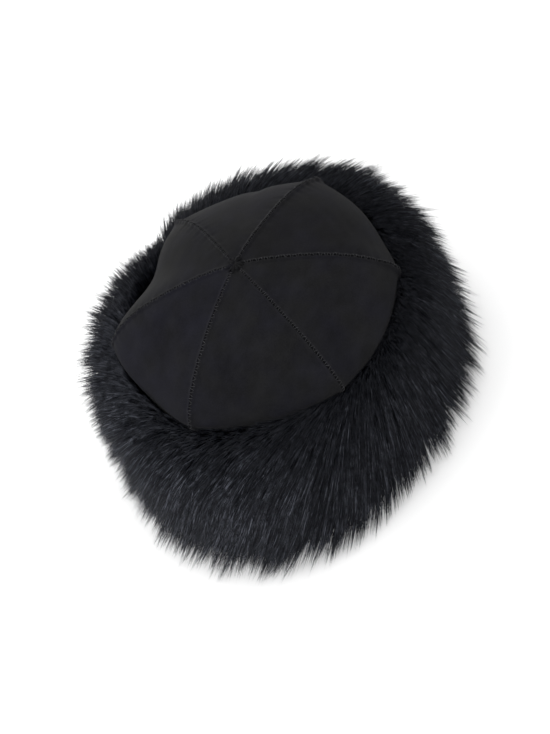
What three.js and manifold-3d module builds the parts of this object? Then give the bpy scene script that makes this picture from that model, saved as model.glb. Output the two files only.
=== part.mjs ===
// A winter hat: a soft dome of six suede gores that meet at a point, in a deep cuff of long fur.
// Millimetres. +Z is up, the surface that it stands on is z = 0 and the front is towards -Y.
// Azimuths are degrees anticlockwise from +X, about the crown's own axis.
import * as THREE from 'three';
import Module from 'manifold-3d';

const wasm = await Module();
wasm.setup();

// Driving dimensions
const HAT_HEIGHT = 165;
const CROWN_REACH = 110;
const DOME_DROP = 49;
const DOME_ROUNDNESS = 1.76;
const OPENING_FRONT = 98;
const OPENING_SIDE = 86;
const WALL = 2.2;
const PIECE_GAP = 0.3;

// Seams run down the crown, each with its own peak, a corner that stands out at the dome's edge
const PEAK_SHARPNESS = 4;
const SEAMS = [
  { azimuth: 89, peak: 8.0 },
  { azimuth: 28, peak: 0.5 },
  { azimuth: -30, peak: 12.0 },
  { azimuth: -88, peak: 8.0 },
  { azimuth: -148, peak: 0.5 },
  { azimuth: -214, peak: -1.0 },
];
// Gores run clockwise from the back seam. Each slumps between its seams, or swells where slump is
// negative, and skew over 1 moves the deepest place towards its second seam
const GORES = [
  { name: 'crown_panel_1', slump: 3.5, skew: 1.8 },
  { name: 'crown_panel_2', slump: -3.0, skew: 1.8 },
  { name: 'crown_panel_3', slump: -3.0, skew: 0.6 },
  { name: 'crown_panel_4', slump: 6.5, skew: 0.9 },
  { name: 'crown_panel_5', slump: 19.0, skew: 0.85 },
  { name: 'crown_panel_6', slump: 1.5, skew: 0.6 },
];
// How far the suede sinks for each millimetre that it moves in, and rises where it moves out
const SAG = 0.4;
const APEX_HOLE = 1.5;
const DOME_ROWS = 9;
const FIELD_SPANS = 4;

// Welt: the raised edge of a lapped seam, and the most degrees that it takes of a narrow gore
const WELT_HEIGHT = 0.7;
const WELT_WIDTH = 1.5;
const WELT_FADE = 2.7;
const WELT_LIMIT = 10;
const FADE_LIMIT = 18;

// The crown's wall below its widest ring. round is 1 on a circle and 0 on the opening's oval,
// slack is the share of peaks and slumps, and welt is the share of the welt's height
const SIDE_ROWS = [
  { z: 109, reach: 108.5, round: 1.0, slack: 0.7, welt: 1.0 },
  { z: 101, reach: 103.5, round: 0.9, slack: 0.15, welt: 0.0 },
  { z: 94, reach: 99.0, round: 0.6, slack: 0.0, welt: 0.0 },
  { z: 70, reach: 96.0, round: 0.2, slack: 0.0, welt: 0.0 },
  { z: 36, reach: 94.0, round: 0.0, slack: 0.0, welt: 0.0 },
  { z: 2.4, reach: 93.0, round: 0.0, slack: 0.0, welt: 0.0 },
];

// Cuff: how far the fur's tips reach from the axis at even steps of azimuth, from +X round
const FUR_REACH = [135, 138, 150.5, 157, 151.5, 142, 138, 142, 146, 161, 161.5, 141.5];
const CUFF_STATIONS = 60;
const CUFF_GAP = 0.45;
const HEM_HEIGHT = 2.1;
const TUFT = 12;
const THINNEST_PILE = 7;
const JOIN_AZIMUTH = 158;
const JOIN_WIDTH = 6;
const JOIN_DEPTH = 16;

// The pile body's section, from its top inner edge over the outside to the floor.
// share is 0 at the crown's wall and 1 at the body's furthest reach
const PILE_ROWS = [
  { z: 98, share: 0.12 },
  { z: 104, share: 0.34 },
  { z: 104, share: 0.62 },
  { z: 97, share: 0.84 },
  { z: 84, share: 0.96 },
  { z: 60, share: 1.0 },
  { z: 28, share: 1.0 },
  { z: 8, share: 0.98 },
  { z: 0, share: 0.94 },
];

// How far the locks are brushed round the head, clockwise, at even steps of azimuth from +X round,
// as a share of LOCK_SWEEP degrees
const BRUSHED = [0.95, 1.0, 1.5, 0.75, 1.1, 0.7, 0.3, 0.3, 0.1, 0.12, 0.6, 1.15];

// Rows of locks from the top down: where they root, where their tips end, and their size
const LOCK_ROWS = [
  { count: 24, z: 97, share: 0.62, tipZ: 115, tipShare: 0.74, width: 21, thick: 9 },
  { count: 26, z: 93, share: 0.86, tipZ: 101, tipShare: 0.96, width: 23, thick: 10 },
  { count: 26, z: 84, share: 0.97, tipZ: 71, tipShare: 1.0, width: 25, thick: 11 },
  { count: 26, z: 65, share: 1.0, tipZ: 43, tipShare: 1.0, width: 25, thick: 11 },
  { count: 26, z: 43, share: 1.0, tipZ: 17, tipShare: 1.0, width: 25, thick: 11 },
  { count: 26, z: 22, share: 1.0, tipZ: 2, tipShare: 0.98, width: 25, thick: 10 },
];
const LOCK_STATIONS = 3;
const LOCK_TAPER = 0.75;
const LOCK_BELLY = 0.4;
const LOCK_ARCH = 3;
const LOCK_SWAY = 5;
const LOCK_SWEEP = 7;
const LOCK_TRIM = 0.25;
const LOCK_FLOOR = 0.8;
const LOCK_SEED = 20;
const ROOT_DEPTH = 4;
const ROOT_CLEARANCE = 5;
const ROOT_SCATTER = 4;
const STEP_SCATTER = 0.3;

const { degToRad, euclideanModulo, lerp, radToDeg } = THREE.MathUtils;

// A point from its azimuth, its distance from the axis and its height
function polar(azimuth, reach, z) {
  const turn = degToRad(azimuth);
  return new THREE.Vector3(reach * Math.cos(turn), reach * Math.sin(turn), z);
}

// Two triangles for the four corners of a quad, in order round it
function quad(faces, a, b, c, d) {
  faces.push([a, b, c], [a, c, d]);
}

// An indexed geometry from points and triangles, turned over if its faces point in
function closedGeometry(points, faces) {
  const volume = faces.reduce((sum, [a, b, c]) => {
    return sum + points[a].dot(new THREE.Vector3().crossVectors(points[b], points[c]));
  }, 0);
  const outward = volume > 0 ? faces : faces.map(([a, b, c]) => [a, c, b]);
  const geometry = new THREE.BufferGeometry();
  geometry.setFromPoints(points);
  geometry.setIndex(outward.flat());
  return geometry;
}

// The oval of the head opening, scaled so that its mean radius is the one given
function ovalReach(azimuth, mean) {
  const turn = degToRad(azimuth);
  const oval = 1 / Math.hypot(Math.cos(turn) / OPENING_SIDE, Math.sin(turn) / OPENING_FRONT);
  return (oval * mean * 2) / (OPENING_FRONT + OPENING_SIDE);
}

// The crown's meridian from the apex to the rim: a rounded dome, then the wall inside the cuff
function crownRows() {
  const dome = [];
  for (let i = 0; i <= DOME_ROWS; i += 1) {
    const out = Math.sin(((i / DOME_ROWS) * Math.PI) / 2);
    const t = Math.max(out, APEX_HOLE / CROWN_REACH);
    const drop = DOME_DROP * (1 - (1 - t ** DOME_ROUNDNESS) ** (1 / DOME_ROUNDNESS));
    dome.push({ z: HAT_HEIGHT - drop, reach: t * CROWN_REACH, round: 1, slack: t * t, welt: 1 });
  }
  return dome.concat(SIDE_ROWS);
}

const CROWN_ROWS = crownRows();

// A row's reach at an azimuth, before its peaks and slumps
function rowReach(row, azimuth) {
  return lerp(ovalReach(azimuth, row.reach), row.reach, row.round);
}

// How many degrees a gore spans between its seams
function goreSpan(gore) {
  const next = SEAMS[(gore + 1) % SEAMS.length];
  return euclideanModulo(SEAMS[gore].azimuth - next.azimuth, 360);
}

// How far a row moves out on one gore, peaked at the seams and slumped between them
function goreMove(row, gore, azimuth) {
  const first = SEAMS[gore];
  const second = SEAMS[(gore + 1) % SEAMS.length];
  const { slump, skew } = GORES[gore];
  const across = (first.azimuth - azimuth) / goreSpan(gore);
  const rise = first.peak * (1 - across) ** PEAK_SHARPNESS + second.peak * across ** PEAK_SHARPNESS;
  return (rise - slump * Math.sin(Math.PI * across ** skew) ** 2) * row.slack;
}

// One gore's columns on a row, each with its azimuth and whether it lies on a welt
function goreColumns(row, gore) {
  const span = goreSpan(gore);
  const gap = radToDeg(Math.asin(PIECE_GAP / 2 / row.reach));
  const edge = gap + Math.min(radToDeg(WELT_WIDTH / row.reach), WELT_LIMIT);
  const fade = gap + Math.min(radToDeg(WELT_FADE / row.reach), FADE_LIMIT);
  const columns = [{ offset: gap, welt: 1 }, { offset: edge, welt: 1 }];
  for (let i = 0; i <= FIELD_SPANS; i += 1) {
    columns.push({ offset: lerp(fade, span - fade, i / FIELD_SPANS), welt: 0 });
  }
  columns.push({ offset: span - edge, welt: 1 }, { offset: span - gap, welt: 1 });
  const start = SEAMS[gore].azimuth;
  return columns.map(({ offset, welt }) => ({ azimuth: start - offset, welt }));
}

// Where a row passes on one gore, as reach and height. Rows past either end are taken as the last
function goreSection(index, gore, azimuth) {
  const row = CROWN_ROWS[Math.min(Math.max(index, 0), CROWN_ROWS.length - 1)];
  const move = goreMove(row, gore, azimuth);
  return new THREE.Vector2(rowReach(row, azimuth) + move, row.z + SAG * move);
}

// The inward normal of one gore's section at a row, as reach and height
function inward(index, gore, azimuth) {
  const along = goreSection(index + 1, gore, azimuth).sub(goreSection(index - 1, gore, azimuth));
  return new THREE.Vector2(along.y, -along.x).normalize();
}

// One gore: an outer and an inner sheet, closed along their four edges
function goreGeometry(gore) {
  const points = [];
  const faces = [];
  const rim = CROWN_ROWS.length - 1;
  const last = goreColumns(CROWN_ROWS[0], gore).length - 1;
  const outer = (row, column) => 2 * (row * (last + 1) + column);
  const inner = (row, column) => outer(row, column) + 1;
  CROWN_ROWS.forEach((row, index) => {
    goreColumns(row, gore).forEach(({ azimuth, welt }) => {
      const middle = goreSection(index, gore, azimuth);
      const normal = inward(index, gore, azimuth);
      const face = middle.clone().addScaledVector(normal, -WELT_HEIGHT * welt * row.welt);
      const back = middle.clone().addScaledVector(normal, WALL);
      points.push(polar(azimuth, face.x, face.y));
      points.push(polar(azimuth, back.x, index === rim ? middle.y : back.y));
    });
  });
  for (let row = 0; row < rim; row += 1) {
    const next = row + 1;
    for (let k = 0; k < last; k += 1) {
      quad(faces, outer(row, k), outer(next, k), outer(next, k + 1), outer(row, k + 1));
      quad(faces, inner(row, k), inner(row, k + 1), inner(next, k + 1), inner(next, k));
    }
    quad(faces, outer(row, 0), inner(row, 0), inner(next, 0), outer(next, 0));
    quad(faces, outer(row, last), outer(next, last), inner(next, last), inner(row, last));
  }
  for (let k = 0; k < last; k += 1) {
    quad(faces, outer(0, k), outer(0, k + 1), inner(0, k + 1), inner(0, k));
    quad(faces, outer(rim, k), inner(rim, k), inner(rim, k + 1), outer(rim, k + 1));
  }
  return closedGeometry(points, faces);
}

// A smooth closed curve through values at even steps of azimuth, from +X round
function loopThrough(table, azimuth) {
  const count = table.length;
  const place = (euclideanModulo(azimuth, 360) * count) / 360;
  const index = Math.floor(place);
  const t = place - index;
  const [a, b, c, d] = [-1, 0, 1, 2].map((k) => table[(index + k + count) % count]);
  return b + 0.5 * t * (c - a + t * (2 * a - 5 * b + 4 * c - d + t * (3 * (b - c) + d - a)));
}

// How far the fur's tips reach at an azimuth, parted at the join
function furReach(azimuth) {
  const away = euclideanModulo(azimuth - JOIN_AZIMUTH + 180, 360) - 180;
  return loopThrough(FUR_REACH, azimuth) - JOIN_DEPTH * Math.exp(-((away / JOIN_WIDTH) ** 2));
}

// The crown's wall at any height inside the cuff
function heldReach(azimuth, z) {
  const found = SIDE_ROWS.findIndex((row) => row.z < z);
  const lower = found < 1 ? SIDE_ROWS.length - 1 : found;
  const [above, below] = [SIDE_ROWS[lower - 1], SIDE_ROWS[lower]];
  const t = (z - below.z) / (above.z - below.z);
  return lerp(rowReach(below, azimuth), rowReach(above, azimuth), t);
}

// A point of the pile. share is 0 at the crown's wall and 1 on the pile body, moved out by beyond
function pilePoint(azimuth, z, share, beyond) {
  const wall = heldReach(azimuth, z) + CUFF_GAP;
  const body = Math.max(furReach(azimuth) - TUFT, wall + THINNEST_PILE);
  return polar(azimuth, wall + share * (body + beyond - wall), z);
}

// The cuff's body: a turned-in hem under the crown's wall, the wall beside it and the pile's mass
function pileGeometry() {
  const points = [];
  const faces = [];
  const rim = SIDE_ROWS[SIDE_ROWS.length - 1];
  const held = SIDE_ROWS.map((row) => row.z).filter((z) => z > rim.z && z < PILE_ROWS[0].z);
  const wallHeights = [HEM_HEIGHT, ...held.reverse()];
  for (let i = 0; i < CUFF_STATIONS; i += 1) {
    const azimuth = (360 * i) / CUFF_STATIONS;
    const hem = rowReach(rim, azimuth) - WALL;
    points.push(polar(azimuth, hem, 0), polar(azimuth, hem, HEM_HEIGHT));
    wallHeights.forEach((z) => points.push(pilePoint(azimuth, z, 0, 0)));
    PILE_ROWS.forEach(({ z, share }) => points.push(pilePoint(azimuth, z, share, 0)));
  }
  const ring = points.length / CUFF_STATIONS;
  for (let i = 0; i < CUFF_STATIONS; i += 1) {
    const next = (i + 1) % CUFF_STATIONS;
    for (let k = 0; k < ring; k += 1) {
      const after = (k + 1) % ring;
      quad(faces, i * ring + k, i * ring + after, next * ring + after, next * ring + k);
    }
  }
  return closedGeometry(points, faces);
}

// Repeatable numbers from 0 to 1, so that the locks fall the same way each time
function repeatable(seed) {
  const factor = 16807;
  const range = 2147483647;
  let state = seed;
  return () => {
    state = (state * factor) % range;
    return state / range;
  };
}

// One lock: three-sided with its ridge outwards, widest at the root and drawn out to its tip
function lockGeometry(root, tip, width, thick) {
  const points = [];
  const faces = [];
  const bend = root.clone().lerp(tip, 0.5);
  bend.z += LOCK_ARCH;
  const curve = new THREE.QuadraticBezierCurve3(root, bend, tip);
  const side = new THREE.Vector3(-root.y, root.x, 0).normalize();
  for (let i = 0; i < LOCK_STATIONS; i += 1) {
    const t = i / LOCK_STATIONS;
    const taper = 1 - LOCK_TAPER * t ** 1.5;
    const centre = curve.getPoint(t);
    const ridge = new THREE.Vector3().crossVectors(side, curve.getTangent(t)).normalize();
    const belly = centre.clone().addScaledVector(ridge, -thick * taper * LOCK_BELLY);
    points.push(belly.clone().addScaledVector(side, (width / 2) * taper));
    points.push(belly.clone().addScaledVector(side, (-width / 2) * taper));
    points.push(centre.clone().addScaledVector(ridge, thick * taper * (1 - LOCK_BELLY)));
  }
  points.push(tip);
  points.forEach((point) => {
    point.z = Math.max(point.z, LOCK_FLOOR);
  });
  const end = points.length - 1;
  for (let k = 0; k < 3; k += 1) {
    const after = (k + 1) % 3;
    for (let first = 0; first < end - 3; first += 3) {
      quad(faces, first + k, first + after, first + 3 + after, first + 3 + k);
    }
    faces.push([end - 3 + k, end - 3 + after, end]);
  }
  faces.push([0, 2, 1]);
  return closedGeometry(points, faces);
}

// Where a lock roots: sunk in the pile body, clear of the crown's wall
function lockRoot(azimuth, z, share) {
  const surface = pilePoint(azimuth, z, share, 0);
  const nearest = heldReach(azimuth, z) + CUFF_GAP + ROOT_CLEARANCE;
  return polar(azimuth, Math.max(Math.hypot(surface.x, surface.y) - ROOT_DEPTH, nearest), z);
}

// All the locks, row by row, each row set half a step on from the one above
function lockGeometries() {
  const random = repeatable(LOCK_SEED);
  const scatter = (size) => size * (random() - 0.5);
  return LOCK_ROWS.flatMap((row, index) => {
    return Array.from({ length: row.count }, (unused, i) => {
      const azimuth = (360 * (i + 0.5 * (index % 2) + scatter(STEP_SCATTER))) / row.count;
      const root = lockRoot(azimuth, row.z + scatter(ROOT_SCATTER), row.share);
      const sweep = scatter(LOCK_SWAY) - LOCK_SWEEP * loopThrough(BRUSHED, azimuth);
      const furthest = pilePoint(azimuth + sweep, row.tipZ, row.tipShare, TUFT);
      const tip = root.clone().lerp(furthest, 1 - LOCK_TRIM * random() ** 2);
      return lockGeometry(root, tip, row.width, row.thick);
    });
  });
}

// A closed geometry as a solid
function solidOf(geometry) {
  const vertProperties = Float32Array.from(geometry.getAttribute('position').array);
  const triVerts = Uint32Array.from(geometry.getIndex().array);
  return new wasm.Manifold(new wasm.Mesh({ numProp: 3, vertProperties, triVerts }));
}

// Overlapping closed geometries joined into one body
function fused(geometries) {
  const { vertProperties, triVerts } = geometries
    .map(solidOf)
    .reduce((body, piece) => body.add(piece))
    .getMesh();
  const geometry = new THREE.BufferGeometry();
  geometry.setAttribute('position', new THREE.BufferAttribute(vertProperties, 3));
  geometry.setIndex(new THREE.BufferAttribute(triVerts, 1));
  return geometry;
}

const suede = new THREE.MeshStandardMaterial({ color: 0x222124, roughness: 0.95, metalness: 0 });
const fur = new THREE.MeshStandardMaterial({ color: 0x14161a, roughness: 0.7, metalness: 0 });

// A piece of the hat
function namedPiece(name, geometry, material) {
  const mesh = new THREE.Mesh(geometry, material);
  mesh.name = name;
  return mesh;
}

// The whole hat, moved so that the middle of its box is over the origin
const hat = new THREE.Group();
GORES.forEach(({ name }, gore) => hat.add(namedPiece(name, goreGeometry(gore), suede)));
hat.add(namedPiece('fur_cuff', fused([pileGeometry(), ...lockGeometries()]), fur));
const middle = new THREE.Box3().setFromObject(hat).getCenter(new THREE.Vector3());
hat.position.set(-middle.x, -middle.y, 0);

const model = new THREE.Group();
model.add(hat);

export default model;
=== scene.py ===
# A black winter hat: a suede dome of six stitched gores, open below, in a deep cuff of long fur.
# Metres. +Z is up and the front is towards -Y. Azimuths are degrees anticlockwise from +X, about the
# crown's own axis, and the gores run clockwise from the back seam.
import math
from collections import namedtuple

import bmesh
import bpy
import numpy as np
from mathutils import Matrix, Vector, noise


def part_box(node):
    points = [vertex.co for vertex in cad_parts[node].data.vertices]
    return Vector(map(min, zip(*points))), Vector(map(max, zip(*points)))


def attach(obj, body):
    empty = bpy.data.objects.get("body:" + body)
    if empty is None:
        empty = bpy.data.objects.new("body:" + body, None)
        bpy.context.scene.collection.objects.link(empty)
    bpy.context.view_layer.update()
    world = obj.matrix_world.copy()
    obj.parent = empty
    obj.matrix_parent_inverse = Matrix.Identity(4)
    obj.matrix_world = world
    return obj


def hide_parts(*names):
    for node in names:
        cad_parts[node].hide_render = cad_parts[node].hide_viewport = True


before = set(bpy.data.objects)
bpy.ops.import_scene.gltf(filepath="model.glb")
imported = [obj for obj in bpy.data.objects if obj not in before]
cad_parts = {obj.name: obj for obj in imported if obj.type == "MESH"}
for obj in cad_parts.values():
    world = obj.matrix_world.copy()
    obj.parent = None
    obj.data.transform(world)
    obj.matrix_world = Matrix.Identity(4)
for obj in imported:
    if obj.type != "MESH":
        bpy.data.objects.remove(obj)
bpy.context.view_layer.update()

# The crown's driving sizes
HAT_HEIGHT = 0.165
CROWN_REACH = 0.110
DOME_DROP = 0.049
DOME_ROUNDNESS = 1.76
OPENING_FRONT = 0.098
OPENING_SIDE = 0.086
WALL = 0.0022
PIECE_GAP = 0.0003
APEX_REACH = 0.0004

# The low corner of gore 1's box, which lies at the apex, from the crown's axis
APEX_CORNER = (0.00016, 0.00074)

# Seams, each with its own peak, a corner that stands out at the dome's edge. bend is how many
# degrees anticlockwise the seam has wandered by its outer end
PEAK_SHARPNESS = 4
Seam = namedtuple("Seam", "azimuth peak bend")
SEAMS = (
    Seam(89, 0.0080, 0.0),
    Seam(28, 0.0005, 0.0),
    Seam(-30, 0.0120, 0.0),
    Seam(-88, 0.0080, 0.0),
    Seam(-148, 0.0005, 0.0),
    Seam(-214, -0.0010, 2.4),
)
BEND_START = 0.050

# slump is how far a gore sinks between its seams, or swells where it is negative, and skew over 1
# moves the deepest place towards its second seam. tone is how light its suede is, with painted shade in
# gore 1's low tone, and cool its blue
Gore = namedtuple("Gore", "node slump skew tone cool")
GORES = (
    Gore("crown_panel_1", 0.0035, 1.80, 0.67, 0.12),
    Gore("crown_panel_2", -0.0030, 1.80, 0.95, 0.09),
    Gore("crown_panel_3", -0.0030, 0.60, 0.98, 0.09),
    Gore("crown_panel_4", 0.0065, 0.90, 0.91, 0.24),
    Gore("crown_panel_5", 0.0190, 0.85, 0.98, 0.03),
    Gore("crown_panel_6", 0.0015, 0.60, 0.90, 0.08),
)
# How far the suede sinks for each metre that it moves in, and rises where it moves out
SAG = 0.4

# The crown's wall below its widest ring. roundness is 1 on a circle and 0 on the opening's oval,
# slack is the share of the peaks and slumps, and welt the share of the welt's height
WallRow = namedtuple("WallRow", "z reach roundness slack welt")
WALL_ROWS = (
    WallRow(0.1090, 0.1085, 1.0, 0.70, 1.0),
    WallRow(0.1010, 0.1035, 0.9, 0.15, 0.0),
    WallRow(0.0940, 0.0990, 0.6, 0.00, 0.0),
    WallRow(0.0700, 0.0960, 0.2, 0.00, 0.0),
    WallRow(0.0360, 0.0940, 0.0, 0.00, 0.0),
    WallRow(0.0024, 0.0930, 0.0, 0.00, 0.0),
)
DOME_STEPS = 72
WALL_STEPS = 24
ROW_SMOOTHING = 6

# Columns of a gore's sheet: distances from each seam, then an even field between
EDGE_COLUMNS = (0.00015, 0.0004, 0.0008, 0.0013, 0.0019, 0.0027, 0.0040, 0.0060)
FIELD_COLUMNS = 15

# The welt beside a seam: its rise, and where it starts to fall away and ends, then the groove at the
# seam and the lapped edge on it. All of it flattens out towards the apex, from SEAM_FADE on
SEAM_FADE = 0.014
WELT_HEIGHT = 0.0010
WELT_WIDTH = 0.0011
WELT_FADE = 0.0028
GROOVE_DEPTH = 0.0008
GROOVE_WIDTH = 0.00050
LAP_HEIGHT = 0.00035
LAP_WIDTH = 0.0007
LAP_FADE = 0.0014
# How wide the painted shade is that darkens the suede along each seam
PAINTED_SEAM_SHADE_WIDTH = 0.0009

# Puckers beside a seam, made of two waves: pace is how many of its waves there are in a pitch, and
# shift how far one seam's wave is out of step with the next one's, in radians
PUCKER_HEIGHT = 0.00030
PUCKER_REACH = 0.006
PUCKER_PITCH = 0.0068
PuckerWave = namedtuple("PuckerWave", "height pace shift")
PUCKER_WAVES = (
    PuckerWave(1.0, 1.00, 1.700),
    PuckerWave(0.6, 0.53, 3.001),
)

# Soft dents, folds and swellings of the gores: place on the dome, size across and along it, and depth
Dent = namedtuple("Dent", "azimuth reach across along depth")
DENTS = (
    Dent(112, 0.098, 0.006, 0.012, 0.0022),
    Dent(-127, 0.094, 0.020, 0.012, 0.0012),
    Dent(-75, 0.070, 0.026, 0.030, -0.0010),
    Dent(5, 0.060, 0.024, 0.026, 0.0009),
    Dent(60, 0.078, 0.030, 0.018, -0.0010),
    Dent(-25, 0.089, 0.0022, 0.014, 0.0011),
    Dent(-20, 0.099, 0.0026, 0.008, 0.0008),
    Dent(64, 0.0720, 0.016, 0.0024, 0.0004),
    Dent(58, 0.0820, 0.018, 0.0024, 0.0005),
    Dent(50, 0.0910, 0.014, 0.0022, 0.0005),
    Dent(37, 0.0990, 0.009, 0.0020, 0.0005),
    Dent(35, 0.1045, 0.008, 0.0020, 0.0006),
    Dent(28, 0.1085, 0.003, 0.0060, -0.0022),
    Dent(89, 0.1090, 0.004, 0.0040, -0.0016),
    Dent(149, 0.1075, 0.004, 0.0060, -0.0036),
    Dent(187, 0.1000, 0.020, 0.0220, -0.0012),
)
# Faint ripples all over, raised from a point of the axis at RIPPLE_CENTRE
RIPPLE_HEIGHT = 0.0005
RIPPLE_SIZE = 0.030
RIPPLE_CENTRE = 0.06

# Stitches over the seams, set a little anticlockwise. A stitch rises from its sunk ends as a curve
# that STITCH_ARCH flattens, and every other one slants the other way. The spreads are shares
STITCH_PITCH = 0.0021
STITCH_HALF = 0.00135
STITCH_HALF_SPREAD = (0.85, 1.12)
STITCH_ASIDE = 0.0004
STITCH_RISE = 0.00018
STITCH_SINK = 0.00045
STITCH_ARCH = 4
STITCH_SLANT = 0.00055
STITCH_SLANT_SPREAD = 0.35
THREAD_RADIUS = 0.00021
THREAD_RADIUS_SPREAD = (0.85, 1.15)
STITCH_STATIONS = 5
THREAD_SIDES = 4
FIRST_STITCH = 0.0010
STITCHED_TO = 0.098

# The cuff: how far the fur's tips reach from the axis at even steps of azimuth, from +X round, and
# how far in from there it parts at the join, the hairs root and the undercoat ends. PILE_ROUND and
# PILE_DEPTH turn distances in the pile into turns round the head and shares of the way down
FUR_REACH = (0.135, 0.138, 0.1505, 0.157, 0.1515, 0.142, 0.138, 0.142, 0.146, 0.161, 0.1615, 0.1415)
CUFF_GAP = 0.00045
HEM_HEIGHT = 0.0021
THINNEST_PILE = 0.007
JOIN_AZIMUTH = 158
JOIN_WIDTH = 6
JOIN_DEPTH = 0.016
ROOT_DEPTH = 0.031
UNDERCOAT_DEPTH = 0.025
PILE_ROUND = 0.130
PILE_DEPTH = 0.150

# How the pile is combed, from the crown's rim over the outside to the floor: where hairs root and
# where their tips end. share is 0 at the crown's wall and 1 at the furthest reach
PileRow = namedtuple("PileRow", "root_z root_share tip_z tip_share")
PILE_ROWS = (
    PileRow(0.097, 0.08, 0.119, 0.06),
    PileRow(0.099, 0.40, 0.118, 0.44),
    PileRow(0.099, 0.70, 0.112, 0.77),
    PileRow(0.094, 0.90, 0.099, 0.94),
    PileRow(0.085, 1.00, 0.076, 1.00),
    PileRow(0.070, 1.00, 0.052, 1.00),
    PileRow(0.052, 1.00, 0.030, 1.00),
    PileRow(0.033, 1.00, 0.012, 0.985),
    PileRow(0.012, 0.99, 0.002, 0.955),
)
# The undercoat's mesh: its stations round the head, its steps in a pile row and up the inside, how
# far its inside ends below the first root and its foot stands in from the last one, and its relief
GROUND_STATIONS = 144
GROUND_STEPS = 3
GROUND_INNER_STEPS = 8
GROUND_BELOW_ROOT = 0.002
GROUND_FOOT_SHARE = 0.04
GROUND_RELIEF = 0.0020
GROUND_RELIEF_SIZE = 0.006

# How far the pile is brushed round the head, clockwise, at even steps of azimuth from +X round, as a
# share of BRUSH_REACH. At the crown's rim it is the share BRUSHED_AT_RIM of that, and from
# BRUSHED_FROM down the whole
BRUSHED = (0.95, 1.00, 1.50, 0.75, 1.10, 0.70, 0.30, 0.30, 0.10, 0.12, 0.60, 1.15)
BRUSH_REACH = 0.035
BRUSHED_AT_RIM = 0.65
BRUSHED_FROM = 0.5

# Within about SWEPT_WIDTH degrees of the join the tips are swept away from it
SWEPT_ASIDE = 0.006
SWEPT_WIDTH = 9

# The hairs: tufts in a jittered field on each of six arcs of the cuff, each of a few wisps of hairs
ARCS = 6
TUFT_COLUMNS = 20
TUFT_ROWS = 30
TUFT_WISPS = 6
WISP_HAIRS = 4
TUFT_HAIRS = TUFT_WISPS * WISP_HAIRS
FUR_SEED = 7

# A hair arches up and bends between its root and its tip. HAIR_RADII are its radii at the root and
# the middle, and it ends in a point. STATION_POWER under 1 moves the middle towards the tip
HAIR_STATIONS = 3
STATION_POWER = 0.9
HAIR_SIDES = 3
HAIR_RADII = (0.00020, 0.00022)
HAIR_RADIUS_SPREAD = (0.7, 1.2)
HAIR_ARCH = 0.006
HAIR_BEND = 0.0015

# How far apart the wisps of a tuft and the hairs of a wisp root, and the share of that which they
# lose by their tips. Loose hairs root as far apart as wisps do, and hardly gather
TUFT_SPREAD = 0.0032
TUFT_GATHER = 0.28
WISP_SPREAD = 0.0011
WISP_GATHER = 0.80
LOOSE_SHARE = 0.25
LOOSE_GATHER = 0.10

# How far whole tufts, wisps, loose hairs and held ones stray from the way that the pile is combed
TUFT_ASIDE = 0.0030
WISP_ASIDE = 0.0014
LOOSE_ASIDE = 0.0055
HELD_ASIDE = 0.0004

# Lengths, as shares of the way from root to combed tip, which lies TIP_BEYOND past the fur's reach.
# Strays aside, none is over LONGEST
TIP_BEYOND = 0.0060
TUFT_LENGTH = (0.91, 1.04)
WISP_LENGTH = (0.88, 1.05)
HAIR_LENGTH = (0.93, 1.01)
STRAY_SHARE = 0.025
STRAY_LENGTH = (1.02, 1.10)
LONGEST = 1.22

# How uneven the hairs' lengths and lie are, at even steps of azimuth from +X round. Beside the join
# they are trimmed, by the whole of TIP_BEYOND at TRIMMED_AZIMUTH
RAGGED = (0.45, 0.85, 1.00, 0.90, 0.80, 0.90, 1.10, 1.15, 1.00, 1.00, 0.85, 0.50)
TRIMMED_AZIMUTH = 168
TRIMMED_WIDTH = 14

# From EDGE_FROM down to the floor the tufts gather into pointed locks, longer and more uneven in
# length. Along the cuff's upper edge, at BROW_DOWN, they do so to the share BROW_SHARE
EDGE_FROM = 0.62
EDGE_GATHER = 0.70
EDGE_RAGGED = 1.6
EDGE_LONGER = 0.09
BROW_SHARE = 0.75
BROW_DOWN = 0.31
BROW_WIDTH = 0.12

# How far the hairs keep from the crown's wall and from the floor
HAIR_CLEARANCE = 0.0006
FLOOR_CLEARANCE = 0.0007

# What wanders smoothly over the cuff is a sum of waves: how many go round the head, for the broad
# wandering and for the clumps, and how high they are. From the rim to the floor a wave shifts by
# WAVE_LEAN radians for each of its turns, of which at most MOST_LEANING count
BROAD_WAVES = (2, 3, 5, 8, 13, 21)
CLUMP_WAVES = (17, 29, 41, 59)
WAVE_HEIGHT = (0.6, 1.0)
WAVE_LEAN = (0.3, 1.0)
MOST_LEANING = 20
WAVE_PHASE = (0, 6.3)

# How far the pile wanders round the head, up and down, in its clumps' length and lie, and the seeds
SWAY_DRIFT = 0.004
LIFT_DRIFT = 0.003
CLUMP_LENGTH = 0.045
CLUMP_ASIDE = 0.0008
SWAY_SEED = 3
LIFT_SEED = 4
PATCH_SEED = 5
LENGTH_SEED = 6
CLUMP_SEED = 8

# How light the hairs are: most are dull, and some carry painted highlights and are a little wider,
# more of them in some wisps. Tufts and broad patches differ. How light each side is drawn, as painted
# light and shade, is given at even steps of azimuth from +X round
GLINT_SHARE = 0.11
GLINT_TONE = (0.35, 1.00)
GLINT_WIDER = 0.02
DULL_TONE = (0.00, 0.06)
TUFT_TONE = (0.85, 1.15)
PATCH_TONE = 0.10
PAINTED_SIDE_LIGHT = (0.30, 0.28, 0.34, 0.44, 0.40, 0.14, 0.12, 0.40, 0.56, 0.67, 0.69, 0.45)
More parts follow.
